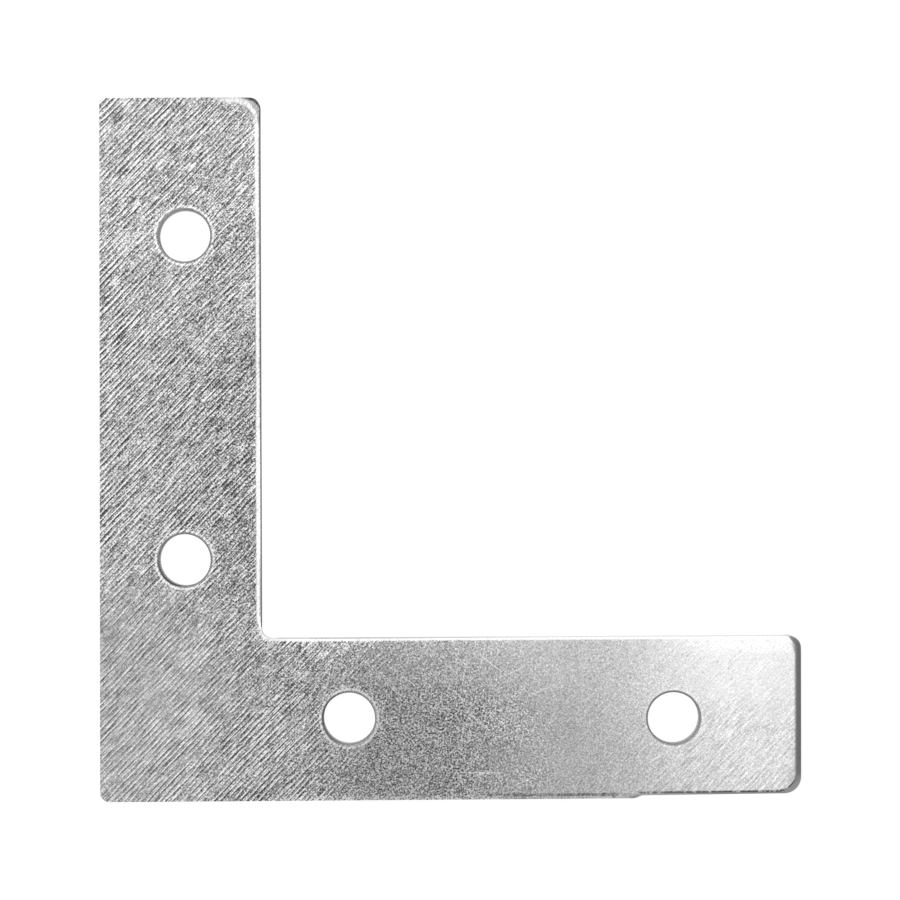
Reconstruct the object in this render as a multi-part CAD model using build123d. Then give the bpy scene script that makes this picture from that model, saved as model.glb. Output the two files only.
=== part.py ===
from build123d import *

import os
from math import asin, degrees, sqrt

# A flat corner plate, punched in one piece from aluminium sheet. Two arms meet at a
# right angle, and each has two plain screw holes.
# Millimetres. The back lies on z = 0 and the front face looks up. One arm runs along
# +X and the other along +Y. The origin is where the two lines of holes cross.

# Plate
length_x = 69.8  # outer corner to the end of the arm along X
length_y = 70.1  # outer corner to the end of the arm along Y
width_x = 16.2  # the arm along X, across its root
width_y = 16.0  # the arm along Y
thickness = 2.0

# Plan radii of the outline's corners
outer_corner_radius = 0.95
inner_corner_radius = 1.0
end_x_inner_radius = 1.15
end_x_outer_radius = 1.65
end_y_inner_radius = 0.9
end_y_outer_radius = 0.55

# The edges were cut a little out of square with the holes
foot_lean = 0.32  # how far the foot rises from the outer corner to the trimmed end
inner_lean_x = 0.25  # how far the inner edge of the arm along X rises towards its end
inner_lean_y = 0.1  # how much narrower the arm along Y is at its end than at its root
end_lean_y = 0.08  # how far the end of the arm along Y rises towards its inner corner

# A second stroke of the shear trims the end of the arm along X a little narrower
trim_length = 16.6
trim_depth = 0.3
trim_ramp = 0.8
trim_ramp_radius = 0.6
trim_lean = 0.2  # how much deeper the cut is at the arm's end than at its start

# Holes
hole_diameter = 5.15
hole_pitch = 32.3
hole_line_from_side = 8.45  # the line along Y, from the plate's outer side
hole_line_from_foot = 8.3  # the line along X, from the plate's outer foot
last_hole_from_end_x = 12.7  # the outer hole of the arm along X, from the arm's end
last_hole_from_end_y = 13.7
breakout_width = 0.1  # the punch breaks out wider at the back
breakout_height = 0.4

# The punch draws the front face down in a rounded roll along the edges that it cuts
roll_radius = 2.6
roll_inner_x = 0.35  # width of the roll along the inner edge of the arm along X
roll_inner_y = 0.6
roll_end_x = 0.75
roll_end_y = 0.6
roll_foot = 0.45  # along the trimmed edge
roll_lip = 0.45  # just before the trimmed edge
rim_roll_radius = 0.28
rim_roll = 0.22  # width of the roll round each hole

# The roll is wider round the outer corners: plan radii of the flat that is left there
flat_end_x_inner_radius = 1.6
flat_end_x_outer_radius = 1.7
flat_end_y_radius = 2.5
form_inner_radius = 0.1  # concave corner of the rounded form

# The sheared outer edges have no roll, so it fades out towards them
fade_lip = 9.5  # length of the fade along the foot
fade_run = 0.3  # straight run of the roll on the end of the arm along Y
fade_slope = 0.35

side = -hole_line_from_side
foot = -hole_line_from_foot
end_x = side + length_x
end_y = foot + length_y
inner_x = side + width_y
inner_y = foot + width_x
trim_x = end_x - trim_length
lip_y = foot + foot_lean  # the foot's edge where the trimmed end starts
trimmed_y = lip_y + trim_depth
hole_radius = hole_diameter / 2
first_hole_x = end_x - last_hole_from_end_x - hole_pitch
first_hole_y = end_y - last_hole_from_end_y - hole_pitch


def rounded_shape(points_and_radii):
    """A flat shape with these corners, each rounded by its own radius."""
    points = [point for point, radius in points_and_radii]
    radii = [radius for point, radius in points_and_radii]
    return make_face(FilletPolyline(points, radius=radii, close=True))


def outline():
    """The plate's outline seen from the front."""
    points_and_radii = [
        ((side, foot), outer_corner_radius),
        ((trim_x, lip_y), trim_ramp_radius),
        ((trim_x + trim_ramp, trimmed_y), trim_ramp_radius),
        ((end_x, trimmed_y + trim_lean), end_x_outer_radius),
        ((end_x, inner_y + inner_lean_x), end_x_inner_radius),
        ((inner_x, inner_y), inner_corner_radius),
        ((inner_x - inner_lean_y, end_y + end_lean_y), end_y_inner_radius),
        ((side, end_y), end_y_outer_radius),
    ]
    return rounded_shape(points_and_radii)


def stand_off(roll_width):
    """How far outside the plate's edge the wall of the rounded form stands."""
    return roll_radius - roll_width


def rounded_form():
    """A larger plate with a round front edge. What it leaves of the plate has the roll."""
    clear = 2 * roll_radius
    lip_slope = roll_lip / fade_lip + foot_lean / (trim_x - side)
    foot_at_trim = lip_y - stand_off(roll_lip)
    foot_at_side = foot_at_trim - lip_slope * (trim_x - side + clear)
    trimmed_foot = trimmed_y - stand_off(roll_foot)
    right = end_x + stand_off(roll_end_x)
    inside = inner_y + stand_off(roll_inner_x)
    top = end_y + end_lean_y + stand_off(roll_end_y)
    fade_x = inner_x - roll_inner_y - flat_end_y_radius - fade_run
    top_at_fade = top - end_lean_y / width_y * (inner_x - fade_x)
    top_at_side = top_at_fade + fade_slope * (fade_x - side + clear)
    points_and_radii = [
        ((side - clear, foot_at_side), 0),
        ((trim_x, foot_at_trim), 0),
        ((trim_x + trim_ramp, trimmed_foot), 0),
        ((right, trimmed_foot + trim_lean), flat_end_x_outer_radius + roll_radius),
        ((right, inside + inner_lean_x), flat_end_x_inner_radius + roll_radius),
        ((inner_x + stand_off(roll_inner_y), inside), form_inner_radius),
        (
            (inner_x - inner_lean_y + stand_off(roll_inner_y), top),
            flat_end_y_radius + roll_radius,
        ),
        ((fade_x, top_at_fade), 0),
        ((side - clear, top_at_side), 0),
    ]
    form = extrude(rounded_shape(points_and_radii), thickness + roll_radius)
    form = Pos(0, 0, -roll_radius) * form
    return fillet(form.faces().sort_by(Axis.Z)[-1].edges(), roll_radius)


def hole_cutter():
    """The space of one punched hole: break-out at the back, straight wall, rolled rim."""
    rim_radius = hole_radius + rim_roll
    rim_drop = rim_roll_radius - sqrt(rim_roll_radius**2 - rim_roll**2)
    rim_angle = degrees(asin(rim_roll / rim_roll_radius))
    over = 2 * thickness
    back = Polyline(
        (hole_radius, thickness - rim_drop),
        (hole_radius, breakout_height),
        (hole_radius + breakout_width, 0),
        (0, 0),
        (0, over),
        (rim_radius, over),
        (rim_radius, thickness),
    )
    rim_centre = (rim_radius, thickness - rim_roll_radius)
    rim = CenterArc(rim_centre, rim_roll_radius, 90, rim_angle)
    profile = make_face(Curve() + [back, rim])
    return revolve(Plane.XZ * profile, Axis.Z)


def hole_places():
    along_x = [(first_hole_x + i * hole_pitch, 0) for i in range(2)]
    along_y = [(0, first_hole_y + i * hole_pitch) for i in range(2)]
    return along_x + along_y


def corner_plate():
    plate = extrude(outline(), thickness)
    plate = plate & rounded_form()
    cutter = hole_cutter()
    for x, y in hole_places():
        plate = plate - Pos(x, y, 0) * cutter
    return plate


os.makedirs("parts", exist_ok=True)
export_step(corner_plate(), "parts/corner_plate.step")
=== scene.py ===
from collections import defaultdict
from math import acos, cos, hypot, pi, radians, sin

import bpy
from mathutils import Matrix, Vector


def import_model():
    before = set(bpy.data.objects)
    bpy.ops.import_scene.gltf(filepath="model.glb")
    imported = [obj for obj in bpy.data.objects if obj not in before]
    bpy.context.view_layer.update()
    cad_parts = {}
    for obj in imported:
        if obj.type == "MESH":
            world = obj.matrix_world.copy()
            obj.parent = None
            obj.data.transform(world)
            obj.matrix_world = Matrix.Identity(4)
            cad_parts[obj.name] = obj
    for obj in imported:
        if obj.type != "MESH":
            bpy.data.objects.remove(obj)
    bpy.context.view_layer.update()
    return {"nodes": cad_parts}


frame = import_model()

# Metres. The plate lies on the floor with its back on z = 0.
millimetres = 1000.0  # in a metre
thickness = 0.002
floor_depth = 0.00002  # how far the floor lies under the plate's back
floor_reach = 4.0

# Camera, straight above the plate
view_centre = (0.02642, 0.02672)
camera_height = 0.240  # above the front face
pixels_per_metre = 10046  # on the front face
picture_width = 900
sensor_width = 0.036
nearest, furthest = 0.01, 20  # what the camera sees
camera_roll = radians(-0.08)

# Holes and rolled edges, as in the solid
holes = [(0.01635, 0.0), (0.04865, 0.0), (0.0, 0.0158), (0.0, 0.0481)]
hole_radius = 0.002575
rim_roll = 0.00022  # width of the roll round a hole
rim_roll_radius = 0.00028
roll_radius = 0.0026
steepest_roll = 0.3  # upward part of the normal
flattest_roll = 0.99999
smooth_limit = radians(40)  # faces that meet at less than this belong to one round surface

# Light
world_strength = 0.42
floor_paint = 0.9
floor_glow = 1.1
floor_glow_share = 0.85

# The finish. From here on lengths are in millimetres on the plate, and angles in degrees.
line_angle = 45.9
line_pitch = 0.436
line_drift = 0.16  # how far a line wanders over a long way
line_wave = 0.055  # and over a short one
line_slant = 3.7  # how far across the lines move for each millimetre down a wall
second_line = 0.65  # strength of the line between two lines
grain_per_mm = 6.2
grain_relief_per_mm = 4.6
cells_per_mm = 7.5
cell_share = 0.25  # of the grain
grain_turn = (0.5, 0.7, 0.4)  # radians, so that the grain doesn't follow the plate's axes
fade_per_mm = 0.22
fade_reach = 3.0  # how far the ends of the finish's stretches wander
scratch_angles = (24, -38, 78)
foot_line = (8.25, -0.006)  # y + the first + x times the second is the height above the foot's edge
inner_fillet = (8.55, 8.9)  # centre of the fillet in the inner corner
rim_edge = (hole_radius + rim_roll) * millimetres  # where a hole's roll begins, from the hole's centre

# Size of the random shapes in the finish, along the lines and across them
drift_size = (16.0, 5.0)
wave_size = (2.6, 0.7)
calm_size = (7.0, 2.4)
swell_size = (2.6, 0.5)
hair_size = (1.7, 0.14)
nick_size = (0.9, 0.2)
scratch_size = (2.6, 0.09)
fleck_size = (0.5, 0.2)
dash_size = (0.4, 1.5)  # along the foot and across it
cloud_size = (9.0, 3.0)
wisp_size = (0.55, 0.13)

# How much each part of the finish changes the brightness of the metal
line_tone = 0.26
hair_tone = 0.47
grain_tone = 0.36
cloud_tone = 0.02
cloud_tone_in_lines = 0.06
nick_tone = -0.2
speck_tone = 0.5
scratch_tone = 0.22
long_scratch_tone = 0.35
fleck_tone = -0.25
# painted highlight along the foot's rolled edge
painted_foot_highlight_tone = 0.22
# painted highlights round the holes: a bright ring, and a faint glow outside it
hole_highlight_tone = 0.4
hole_glow_tone = 0.05
tone_on_rolls = 0.22  # what of it is left on the rolls
least_tone = 0.1
display_gamma = 2.2

# How high the finish stands on the surface
line_height = 0.0035
wisp_height = 0.0012
grain_height = 0.0006

# The metal
face_colour = 0.43
roll_colour = 0.55
darkest, brightest = 0.05, 0.97
face_roughness = 0.24
roll_roughness = 0.18
wall_roughness = 0.35  # added to a roll's
wall_sheen = 0.25  # tint of a wall's grazing reflection


class Graph:
    """Adds nodes to a node tree and joins them."""

    def __init__(self, tree):
        self.tree = tree

    def join(self, value, socket):
        if isinstance(value, bpy.types.NodeSocket):
            self.tree.links.new(value, socket)
        else:
            socket.default_value = value

    def node(self, kind, inputs=None, **settings):
        made = self.tree.nodes.new(kind)
        for name, value in settings.items():
            setattr(made, name, value)
        for socket, value in (inputs or {}).items():
            self.join(value, made.inputs[socket])
        return made

    def math(self, operation, *values):
        made = self.node("ShaderNodeMath", operation=operation)
        for value, socket in zip(values, made.inputs):
            self.join(value, socket)
        return made.outputs[0]

    def add(self, *values):
        total = values[0]
        for value in values[1:]:
            total = self.math("ADD", total, value)
        return total

    def take(self, a, b):
        return self.math("SUBTRACT", a, b)

    def times(self, *values):
        total = values[0]
        for value in values[1:]:
            total = self.math("MULTIPLY", total, value)
        return total

    def larger(self, a, b):
        return self.math("MAXIMUM", a, b)

    def smaller(self, a, b):
        return self.math("MINIMUM", a, b)

    def outside(self, value):
        """1 where the value is 0, and 0 where it is 1."""
        return self.take(1.0, value)

    def step(self, value, low, high, start=0.0, end=1.0):
        """A smooth step from start to end as the value goes from low to high."""
        made = self.node("ShaderNodeMapRange", interpolation_type="SMOOTHSTEP")
        for name, number in {
            "Value": value,
            "From Min": low,
            "From Max": high,
            "To Min": start,
            "To Max": end,
        }.items():
            self.join(number, made.inputs[name])
        return made.outputs["Result"]

    def band(self, value, start, end, blur):
        """1 from start to end, and 0 more than the blur outside them."""
        return self.times(
            self.step(value, start - blur, start), self.step(value, end, end + blur, 1.0, 0.0)
        )

    def distance(self, x, y, centre):
        across = [self.math("POWER", self.take(c, middle), 2.0) for c, middle in zip((x, y), centre)]
        return self.math("SQRT", self.add(*across))

    def split(self, vector):
        return self.node("ShaderNodeSeparateXYZ", {0: vector}).outputs

    def scaled(self, vector, factor):
        return self.node("ShaderNodeVectorMath", {0: vector, 3: factor}, operation="SCALE").outputs[0]

    def grey(self, value):
        return self.node("ShaderNodeCombineColor", {0: value, 1: value, 2: value}).outputs[0]

    def stretched(self, place, angle, along, across, shift=0.0):
        """The place turned into a frame along this angle, divided by these lengths.

        The shift moves it, so that two patterns of one size differ."""
        turned = self.node(
            "ShaderNodeVectorRotate",
            {"Vector": place, "Angle": -radians(angle)},
            rotation_type="Z_AXIS",
        )
        return self.node(
            "ShaderNodeMapping",
            {
                "Vector": turned.outputs[0],
                "Location": (shift, shift * 1.7, shift * 0.3),
                "Scale": (1 / along, 1 / across, 1.0),
            },
        ).outputs[0]

    def noise(self, place, scale=1.0, detail=2.0, roughness=0.5):
        """Smooth noise that swings by about 1 either side of 0."""
        made = self.node(
            "ShaderNodeTexNoise",
            {"Vector": place, "Scale": scale, "Detail": detail, "Roughness": roughness},
        )
        return self.times(self.take(made.outputs["Fac"], 0.5), 4.0)

    def streaks(self, place, size, shift=0.0, detail=2.0, roughness=0.5):
        """Noise of this size along the lines of the metal and across them."""
        return self.noise(self.stretched(place, line_angle, *size, shift), 1.0, detail, roughness)

    def cells(self, place):
        """Three numbers from -1 to 1 for each of many small random cells, one unit wide."""
        made = self.node("ShaderNodeTexVoronoi", {"Vector": place, "Scale": 1.0})
        parts = self.node("ShaderNodeSeparateColor", {0: made.outputs["Color"]}).outputs
        return [self.times(self.take(part, 0.5), 2.0) for part in parts]


def new_material(name):
    """A material with no nodes yet, and the graph that adds them."""
    material = bpy.data.materials.new(name)
    material.use_nodes = True
    material.node_tree.nodes.clear()
    return material, Graph(material.node_tree)


def near_hole(point):
    reach = hole_radius + 1.2 * rim_roll
    return any(hypot(point.x - x, point.y - y) < reach for x, y in holes)


def is_roll(face):
    """Whether a face belongs to a rolled edge of the front."""
    return steepest_roll < face.normal.z < flattest_roll and face.center.z > thickness / 2


def roll_normal(point, sideways):
    """The normal that a round roll has at this height, tilted to this side."""
    radius = rim_roll_radius if near_hole(point) else roll_radius
    tilt = acos(1 - max(thickness - point.z, 0) / radius)
    flat = sideways.normalized() * sin(tilt)
    return Vector((flat.x, flat.y, cos(tilt)))


def shade_round_edges(mesh):
    """Gives each corner of each face the normal of the round surface it stands for.

    On the rolled edges it follows from the height. Elsewhere it is the mean of the faces
    that meet there within the smooth limit."""
    faces_at = defaultdict(list)

    def key(index):
        """One for all corners less than a ten-thousandth of a millimetre apart."""
        return tuple(round(c * 1e7) for c in mesh.vertices[index].co)

    for face in mesh.polygons:
        for index in face.vertices:
            faces_at[key(index)].append(face)
    normals = []
    for face in mesh.polygons:
        for index in face.vertices:
            around = [f for f in faces_at[key(index)] if f.normal.dot(face.normal) > cos(smooth_limit)]
            if is_roll(face):
                around = [f for f in around if is_roll(f)]
            normal = sum((f.normal * f.area for f in around), Vector())
            if is_roll(face):
                normal = roll_normal(mesh.vertices[index].co, normal.xy)
            normals.append(normal.normalized())
    mesh.normals_split_custom_set(normals)


class Surface:
    """The place on the plate in millimetres, how the surface lies there, and what the
    parts of its finish share."""

    def __init__(self, g):
        where = g.node("ShaderNodeTexCoord").outputs["Object"]
        self.place = g.scaled(where, millimetres)
        self.x, self.y, self.z = g.split(self.place)
        normal = g.node("ShaderNodeNewGeometry").outputs["Normal"]
        self.toward_x, self.toward_y, up = g.split(normal)
        self.level = g.math("ABSOLUTE", up)
        self.face = g.step(self.level, 0.9975, 0.9998)  # 1 on the flat faces, 0 on the rolls
        self.wall = g.step(self.level, 0.5, 0.1)  # 1 on the walls, 0 on the rolls
        self.front = g.step(self.z, 1.0, 1.6)  # 1 on the front, 0 on the back
        wander = g.times(g.noise(self.place, fade_per_mm), fade_reach)
        self.fade = g.add(self.x, wander)  # x, made uneven
        self.corner = g.step(g.distance(self.x, self.y, (-6.0, 2.0)), 5.0, 17.0, 0.55, 1.0)
        self.inner_side = g.times(g.step(self.x, -4.0, 7.0), g.step(self.y, 6.0, 14.0))
        self.low_end = g.step(self.y, 4.0, -2.0)
        self.foot_edge = g.add(self.y, foot_line[0], g.times(self.x, foot_line[1]))
        self.calm = g.streaks(self.place, calm_size, 9.1, detail=1.0)
        self.uneven = g.noise(g.stretched(self.place, 0.0, *dash_size, 8.3), 1.0, 3.0, 0.6)
        self.tilted = g.node(
            "ShaderNodeVectorRotate",
            {"Vector": self.place, "Rotation": grain_turn},
            rotation_type="EULER_XYZ",
        ).outputs[0]
        self.fine = g.scaled(self.tilted, cells_per_mm)
        centres = [(x * millimetres, y * millimetres) for x, y in holes]
        self.hole_distances = [g.distance(self.x, self.y, centre) for centre in centres]
        near_rims = [g.step(d, rim_edge - 0.055, rim_edge + 0.005, 1.0, 0.0) for d in self.hole_distances]
        self.rim = g.add(*near_rims)  # 1 on the rims and walls of the holes


def spread_of_lines(g, s):
    """Where the diagonal lines are strong: on the arm along Y, and a little at the end along X."""
    inner_corner = g.step(g.distance(s.x, s.y, (10.0, 6.0)), 3.0, 7.0, 0.6, 1.0)
    beside_inner_edge = g.times(s.inner_side, g.step(s.y, 14.0, 24.0, 0.7, 0.3))
    along_the_arm = g.add(
        0.9, g.times(g.band(s.y, 24.0, 42.0, 10.0), 0.25), g.step(s.y, 0.0, 3.0, 0.17, 0.0)
    )
    on_arm_y = g.times(
        g.step(s.fade, 10.0, 20.0, 1.0, 0.0),
        s.corner,
        inner_corner,
        g.outside(beside_inner_edge),
        along_the_arm,
    )
    at_end_x = g.times(g.step(s.fade, 42.0, 54.0, 0.0, 0.1), s.low_end)
    return g.add(on_arm_y, at_end_x)


def spread_of_hairs(g, s):
    on_arm_y = g.times(g.step(s.fade, 10.0, 22.0, 1.0, 0.1), s.corner)
    at_end_x = g.times(g.step(s.fade, 34.0, 52.0, 0.0, 0.2), s.low_end)
    return g.add(on_arm_y, at_end_x)


def spread_of_grain(g, s):
    across_arm_y = g.step(s.x, -4.0, 6.0, 1.42, 1.75)
    past_inner_edge = g.step(s.x, 8.0, 14.0, 1.0, 1.1)
    above_arm_x = g.step(s.y, 8.0, 16.0, 0.81, 1.0)
    at_end_y = g.step(s.y, 50.0, 58.0, 1.0, 0.8)
    past_middle_x = g.step(s.fade, 25.0, 38.0, 1.0, 0.34)
    at_end_x = g.add(
        g.step(s.fade, 42.0, 54.0, 1.0, 0.42),
        g.times(g.step(s.fade, 42.0, 54.0, 0.0, 0.3), s.low_end),
    )
    between_holes_x = g.times(g.band(s.x, 20.0, 34.0, 5.0), g.step(s.y, 0.0, 6.0, 0.17, -0.3))
    return g.times(
        across_arm_y,
        past_inner_edge,
        above_arm_x,
        at_end_y,
        past_middle_x,
        at_end_x,
        g.add(1.0, between_holes_x),
        s.corner,
    )


def diagonal_lines(g, s, spread):
    """Wavy lines across the plate, each with a weaker one beside it."""
    drift = g.times(g.streaks(s.place, drift_size, 1.3, detail=1.0), line_drift)
    wave = g.times(g.streaks(s.place, wave_size, 2.1, detail=1.0), line_wave)
    across = g.split(g.stretched(s.place, line_angle, 1.0, 1.0))[1]
    phase = g.times(g.add(across, g.times(s.z, line_slant), drift, wave), 2 * pi / line_pitch)
    between = g.times(g.math("SINE", g.times(phase, 2.0)), second_line)
    profile = g.add(g.math("SINE", phase), between)
    swell = g.times(
        g.step(g.streaks(s.place, swell_size, 5.2), -0.8, 0.8, 0.6, 1.3),
        g.step(s.calm, -0.7, 0.7, 0.7, 1.25),
    )
    return g.times(profile, swell, spread)


def fine_hairs(g, s, spread):
    hairs = g.streaks(s.place, hair_size, 3.0, detail=1.0, roughness=0.6)
    return g.times(hairs, spread, g.step(s.calm, -0.7, 0.7, 0.8, 1.15))


def dark_nicks(g, s, spread):
    return g.times(g.step(g.streaks(s.place, nick_size, 12.0), 0.5, 1.0, 0.0, nick_tone), spread)


def fine_grain(g, s, spread):
    smooth = g.noise(s.tilted, grain_per_mm, detail=1.0, roughness=0.6)
    sharp = g.times(g.cells(s.fine)[0], cell_share)
    return g.times(g.add(smooth, sharp), spread)


def marks_of_handling(g, s):
    """Light specks and scratches past the corner, and one long scratch."""
    handled = g.times(g.band(s.fade, 14.0, 33.0, 7.0), g.step(s.y, 9.0, 6.0))
    marks = g.times(g.step(g.cells(s.fine)[1], 0.988, 0.992, 0.0, speck_tone), handled)
    for i, angle in enumerate(scratch_angles):
        scratch = g.cells(g.stretched(s.place, angle, *scratch_size, 4.0 + 3.1 * i))[0]
        scratch = g.step(scratch, 0.965, 0.985, 0.0, scratch_tone)
        marks = g.add(marks, g.times(scratch, handled))
    beside_long_scratch = g.add(s.y, g.times(s.x, 0.01))
    long_scratch = g.times(
        g.band(s.x, 27.0, 31.5, 0.3),
        g.band(beside_long_scratch, -5.14, -5.1, 0.07),
        long_scratch_tone,
    )
    return g.add(marks, long_scratch)


def patches(g, s):
    """A painted highlight along the foot, dark flecks, and stretches that are darker or lighter."""
    # Painted highlight: the foot's edge is made lighter here, where its roll catches light.
    painted_foot_highlight = g.times(g.step(s.foot_edge, 0.5, 0.36), g.band(s.x, 12.0, 28.0, 6.0), painted_foot_highlight_tone)
    flecks = g.times(
        g.step(g.streaks(s.place, fleck_size, 6.1, detail=1.0), 0.7, 1.0, 0.0, fleck_tone),
        g.band(s.x, 44.0, 55.0, 3.0),
        g.step(s.y, -2.0, 3.0),
    )
    # Stretches made darker or lighter by place.
    darker_stretches = g.add(
        g.times(s.inner_side, g.band(s.y, 14.0, 36.0, 6.0), -0.1),
        g.times(g.step(s.x, 35.0, 40.0), g.step(s.y, 4.0, -1.0), -0.05),
    )
    lighter_stretches = g.add(
        g.times(g.step(s.x, 44.0, 54.0), g.step(s.y, 6.0, 7.4), 0.06),
        g.times(g.band(s.x, 25.0, 34.0, 8.0), g.step(s.y, 0.0, 6.0), 0.07),
    )
    return g.add(painted_foot_highlight, flecks, darker_stretches, lighter_stretches)


def painted_hole_highlights(g, s):
    """Painted highlights: a bright ring round each hole and a faint painted glow outside it, weak at the
    end along X.
    """
    total = 0.0
    for distance in s.hole_distances:
        glow = g.step(distance, rim_edge + 0.205, rim_edge + 1.005, hole_glow_tone, 0.0)
        ring = g.times(g.band(distance, rim_edge + 0.045, rim_edge + 0.185, 0.06), hole_highlight_tone)
        total = g.add(total, glow, ring)
    return g.times(total, g.step(s.x, 36.0, 44.0, 1.0, 0.1))


def dashes_on_foot(g, s):
    """Dark dashes where the roll of the foot begins."""
    foot_roll = g.times(
        g.step(s.toward_y, -0.025, -0.050), g.step(s.level, 0.9930, 0.9955), g.step(s.z, 1.0, 1.5)
    )
    dashes = g.step(g.add(s.uneven, g.step(s.x, 43.0, 47.0, -0.6, 0.1)), -0.3, 0.1)
    return g.times(foot_roll, dashes, g.step(s.x, 42.0, 54.0, -0.3, -0.45))


# Painted shadow: a dark line just above the foot's roll.
def painted_shadow_above_foot(g, s):
    return g.times(
        g.band(s.foot_edge, 0.32, 0.52, 0.08),
        g.band(s.x, 31.0, 42.0, 3.0),
        g.step(s.uneven, -0.6, 0.4, -0.08, -0.32),
    )


# Painted highlight on the fillet of the inner corner and beside it.
def painted_highlight_round_inner_corner(g, s):
    near_fillet = g.step(g.distance(s.x, s.y, inner_fillet), 1.3, 1.2)
    on_fillet = g.times(near_fillet, g.step(s.x, 9.0, 8.4), g.step(s.y, 9.3, 8.9), 0.3)
    beside_fillet = g.times(g.band(s.x, 8.4, 11.5, 1.5), g.step(s.y, 7.68, 7.76), 0.25)
    return g.times(g.add(on_fillet, beside_fillet), g.step(s.y, 11.0, 10.0))


def dashes_and_painted_light_of_edges(g, s):
    """Dark dashes at the foot, and painted highlights and painted shade on the rolled edges and close
    beside them.
    """
    off_face = g.outside(s.face)
    # Painted shade on the rolls at the end along Y, and a painted dark line along that end.
    painted_shade_on_end_rolls = g.times(off_face, g.step(s.toward_y, 0.02, 0.06), g.step(s.y, 58.0, 60.0), -0.08)
    painted_dark_line_at_end = g.times(
        g.step(g.take(s.y, g.times(s.x, 0.005)), 61.6, 61.7), g.band(s.x, 2.5, 6.6, 0.8), -0.1
    )
    # Painted shade on the steep part of the roll at the end along Y.
    painted_shade_on_steep_end_roll = g.times(
        g.step(s.level, 0.970, 0.950),
        g.step(s.toward_x, 0.15, 0.25),
        g.step(s.y, 58.5, 60.0),
        -0.25,
    )
    # Painted highlight on the roll at the foot's corner.
    painted_highlight_at_foot_corner = g.times(
        g.step(s.toward_x, 0.03, 0.10),
        g.step(s.toward_y, -0.05, -0.12),
        off_face,
        g.step(s.x, 50.0, 55.0),
        0.1,
    )
    on_front = g.add(painted_shadow_above_foot(g, s), painted_highlight_round_inner_corner(g, s), painted_dark_line_at_end)
    return g.add(dashes_on_foot(g, s), painted_shade_on_end_rolls, painted_shade_on_steep_end_roll, painted_highlight_at_foot_corner, g.times(s.front, on_front))


def painted_light_and_shade_of_walls(g, s, painted_bright_wall, corner_wall):
    """How much lighter or darker than the rolls each wall is: a little darker everywhere, with painted
    light and painted shade by which way a wall faces, where it stands and how deep in a hole it lies.
    """
    everywhere = -0.1
    # Painted light on the walls facing Y, deep in the holes and in the inner corner; painted shade on the
    # walls facing X and at the ends.
    inner_x = g.times(painted_bright_wall, g.step(s.x, 18.0, 40.0, 0.05, 0.5))
    painted_light_deep_in_hole = g.times(s.rim, g.step(s.z, 1.9, 0.9, 0.0, 0.35))
    painted_shade_facing_x = g.times(g.larger(s.toward_x, 0.0), g.add(-0.4, g.times(s.rim, 0.15)))
    inner_corner = g.times(corner_wall, g.outside(s.rim), 0.45)
    painted_shade_at_corner_of_end_y = g.times(
        g.step(s.toward_x, 0.1, 0.4), g.step(s.toward_y, 0.05, 0.3), g.step(s.y, 45.0, 50.0), -0.3
    )
    end_x = g.step(s.x, 59.3, 60.3, 0.0, -0.3)
    tint = g.add(everywhere, inner_x, painted_light_deep_in_hole, painted_shade_facing_x, inner_corner, painted_shade_at_corner_of_end_y, end_x)
    return g.add(1.0, g.times(s.wall, tint))


def painted_shade_of_rolls(g, s):
    """Painted shade on the rolls: round the holes, near the inner corner and at the end along Y."""
    low_roll = g.times(
        g.step(s.level, 0.988, 0.978),
        g.step(s.toward_x, 0.06, 0.12),
        g.step(s.y, 19.0, 13.0),
        g.step(s.x, 20.0, 10.0),
    )
    end_corner = g.times(
        g.step(g.take(s.toward_x, g.times(s.toward_y, 0.6)), 0.0, 0.02),
        g.step(s.toward_y, 0.01, 0.04),
        g.step(s.level, 0.985, 0.994),
        g.step(s.y, 45.0, 50.0),
    )
    darker = g.add(
        g.times(s.rim, g.step(s.wall, 0.0, 1.0, 0.35, 0.0)),
        g.times(low_roll, g.outside(s.wall), 0.5),
        g.times(end_corner, g.outside(s.face), 0.45),
    )
    return g.take(1.0, darker)


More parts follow.
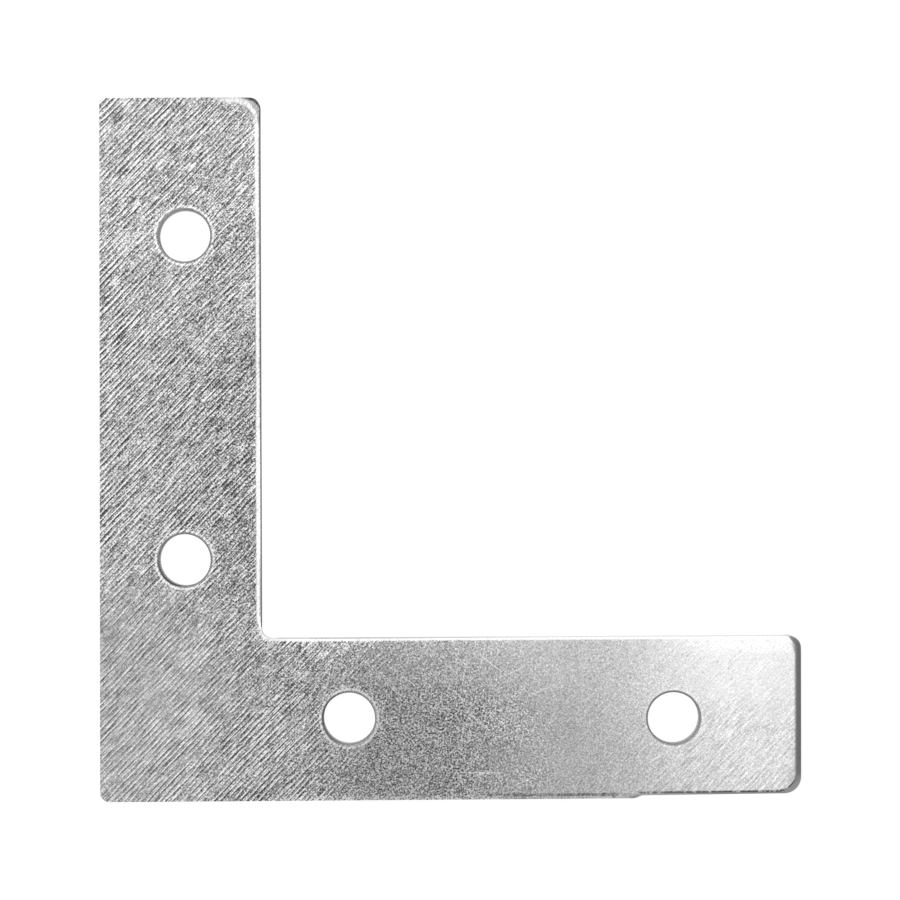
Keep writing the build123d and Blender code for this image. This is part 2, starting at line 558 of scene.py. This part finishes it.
def plate_material():
    material, g = new_material("plate_metal")
    s = Surface(g)
    lines_here = spread_of_lines(g, s)
    hairs_here = spread_of_hairs(g, s)
    grain_here = spread_of_grain(g, s)
    lines = diagonal_lines(g, s, lines_here)

    clouds = g.streaks(s.place, cloud_size, 7.7)
    tone = g.add(
        g.times(lines, line_tone),
        g.times(fine_hairs(g, s, hairs_here), hair_tone),
        dark_nicks(g, s, hairs_here),
        g.times(fine_grain(g, s, grain_here), grain_tone),
        g.times(clouds, g.add(cloud_tone, g.times(lines_here, cloud_tone_in_lines))),
        g.times(s.front, g.add(marks_of_handling(g, s), patches(g, s), painted_hole_highlights(g, s))),
    )
    marked = g.times(g.step(s.face, 0.0, 1.0, tone_on_rolls, 1.0), g.outside(s.wall))
    tone = g.add(g.times(tone, marked), dashes_and_painted_light_of_edges(g, s))

    # Walls with painted light: those facing Y and the one in the inner corner.
    corner_wall = g.times(g.step(s.y, 9.3, 8.9), g.step(s.y, 7.0, 7.6), g.band(s.x, 7.0, 8.8, 0.6))
    painted_bright_wall = g.larger(g.step(s.toward_y, 0.6, 0.95), corner_wall)
    painted_bright_wall = g.times(painted_bright_wall, g.outside(s.rim))
    # The colour, with painted light and painted shade on the walls and rolls.
    shade = g.times(
        g.math("POWER", g.larger(g.add(1.0, tone), least_tone), display_gamma),
        g.step(s.face, 0.0, 1.0, roll_colour, face_colour),
        painted_light_and_shade_of_walls(g, s, painted_bright_wall, corner_wall),
        painted_shade_of_rolls(g, s),
    )
    shade = g.larger(g.smaller(shade, brightest), darkest)

    wisps = g.streaks(s.place, wisp_size, detail=1.5, roughness=0.6)
    relief = g.noise(s.tilted, grain_relief_per_mm, roughness=0.7)
    height = g.add(
        g.times(lines, line_height),
        g.times(wisps, hairs_here, wisp_height),
        g.times(relief, grain_here, grain_height),
    )
    bump = g.node(
        "ShaderNodeBump",
        {"Strength": 1.0, "Distance": 1 / millimetres, "Height": g.times(height, s.face)},
    )
    rough_edge = g.larger(s.wall, g.times(s.rim, g.outside(s.face)))
    metal = g.node(
        "ShaderNodeBsdfPrincipled",
        {
            "Base Color": g.grey(shade),
            "Metallic": 1.0,
            "Roughness": g.add(
                g.step(s.face, 0.0, 1.0, roll_roughness, face_roughness),
                g.times(rough_edge, wall_roughness),
            ),
            "Specular Tint": g.grey(g.larger(g.step(s.wall, 0.0, 1.0, 1.0, wall_sheen), painted_bright_wall)),
            "Normal": bump.outputs[0],
        },
    )
    g.node("ShaderNodeOutputMaterial", {"Surface": metal.outputs[0]})
    return material


def floor_material():
    """White paint that the camera and the metal see as plain white."""
    material, g = new_material("floor")
    path = g.node("ShaderNodeLightPath")
    seen = g.larger(
        path.outputs["Is Camera Ray"],
        g.larger(path.outputs["Is Glossy Ray"], path.outputs["Is Transmission Ray"]),
    )
    paint = g.node("ShaderNodeBsdfDiffuse", {"Color": (floor_paint, floor_paint, floor_paint, 1)})
    glow = g.node("ShaderNodeEmission", {"Color": (1, 1, 1, 1), "Strength": floor_glow})
    mix = g.node(
        "ShaderNodeMixShader",
        {0: g.times(seen, floor_glow_share), 1: paint.outputs[0], 2: glow.outputs[0]},
    )
    g.node("ShaderNodeOutputMaterial", {"Surface": mix.outputs[0]})
    return material


def glow_material(name, corners, light, soft):
    """Light of this strength, which fades out at the sheet's edges over this width."""
    (x0, y0), (x1, y1) = corners
    material, g = new_material(name)
    x, y, _ = g.split(g.node("ShaderNodeTexCoord").outputs["Object"])
    inside = g.times(
        g.band(x, x0 + soft, x1 - soft, soft), g.band(y, y0 + soft, y1 - soft, soft)
    )
    glow = g.node("ShaderNodeEmission", {"Color": (1, 1, 1, 1), "Strength": light})
    clear = g.node("ShaderNodeBsdfTransparent")
    mix = g.node("ShaderNodeMixShader", {0: inside, 1: clear.outputs[0], 2: glow.outputs[0]})
    g.node("ShaderNodeOutputMaterial", {"Surface": mix.outputs[0]})
    return material


def flat_sheet(name, corners, height, material):
    (x0, y0), (x1, y1) = corners
    mesh = bpy.data.meshes.new(name)
    points = [(x0, y0, height), (x1, y0, height), (x1, y1, height), (x0, y1, height)]
    mesh.from_pydata(points, [], [(0, 1, 2, 3)])
    mesh.materials.append(material)
    sheet = bpy.data.objects.new(name, mesh)
    bpy.context.scene.collection.objects.link(sheet)
    return sheet


def soft_panel(name, corners, height, light, soft):
    """A lit sheet that shows only as a reflection in the metal."""
    sheet = flat_sheet(name, corners, height, glow_material(name, corners, light, soft))
    sheet.visible_camera = False
    sheet.visible_shadow = False


def panels():
    """Where two panels overlap, the metal mirrors the lower one."""
    # Over the flat face: the arm along Y, the arm along X, and the dark patch under the camera
    soft_panel("panel_left", ((-0.15, -0.12), (0.004, 0.16)), height=0.130, light=0.98, soft=0.008)
    soft_panel("panel_left_top", ((-0.15, 0.038), (0.004, 0.16)), height=0.129, light=1.17, soft=0.008)
    soft_panel("panel_left_foot", ((-0.022, -0.034), (0.010, 0.002)), height=0.129, light=1.1, soft=0.006)
    soft_panel("panel_mid", ((0.032, -0.09), (0.062, 0.010)), height=0.130, light=1.15, soft=0.010)
    soft_panel("panel_right", ((0.054, -0.040), (0.094, 0.034)), height=0.129, light=2.75, soft=0.010)
    soft_panel("panel_arm", ((0.022, -0.010), (0.046, 0.008)), height=0.128, light=1.1, soft=0.006)
    soft_panel("card_camera", ((0.006, -0.060), (0.031, -0.006)), height=0.129, light=0.36, soft=0.003)

    # Beside the plate, for its rolled edges
    soft_panel("card_end", ((0.075, -0.018), (0.13, 0.030)), height=0.06, light=0.24, soft=0.001)
    soft_panel("panel_inner_y", ((0.0090, 0.0055), (0.018, 0.056)), height=0.03, light=2.1, soft=0.002)
    soft_panel("panel_inner_y_top", ((0.0070, 0.052), (0.018, 0.088)), height=0.0301, light=2.1, soft=0.002)
    soft_panel("panel_inner_x", ((0.0080, 0.0076), (0.066, 0.030)), height=0.0302, light=2.0, soft=0.002)
    soft_panel("panel_corner", ((0.062, 0.008), (0.0725, 0.026)), height=0.03, light=2.4, soft=0.002)
    soft_panel("panel_top", ((-0.001, 0.067), (0.020, 0.090)), height=0.0299, light=2.1, soft=0.003)
    soft_panel("panel_diagonal", ((0.016, 0.070), (0.038, 0.098)), height=0.0298, light=2.4, soft=0.003)


def camera():
    data = bpy.data.cameras.new("camera")
    data.sensor_fit = "AUTO"
    data.sensor_width = sensor_width * millimetres
    data.lens = camera_height * pixels_per_metre / picture_width * sensor_width * millimetres
    data.clip_start = nearest
    data.clip_end = furthest
    made = bpy.data.objects.new("camera", data)
    made.location = (*view_centre, camera_height + thickness)
    made.rotation_euler = (0, 0, camera_roll)
    bpy.context.scene.collection.objects.link(made)
    bpy.context.scene.camera = made


def world():
    """Even light from all round, which the camera sees as white."""
    made = bpy.data.worlds.new("world")
    made.use_nodes = True
    g = Graph(made.node_tree)
    seen = g.node("ShaderNodeLightPath").outputs["Is Camera Ray"]
    background = made.node_tree.nodes["Background"]
    background.inputs["Color"].default_value = (1, 1, 1, 1)
    strength = g.add(g.times(seen, 1.0 - world_strength), world_strength)
    g.join(strength, background.inputs["Strength"])
    bpy.context.scene.world = made


bpy.context.scene.view_settings.view_transform = "Standard"

plate = frame["nodes"]["corner_plate"]
shade_round_edges(plate.data)
plate.data.materials[0] = plate_material()

floor_corners = ((-floor_reach, -floor_reach), (floor_reach, floor_reach))
flat_sheet("floor", floor_corners, -floor_depth, floor_material())
panels()
world()
camera()
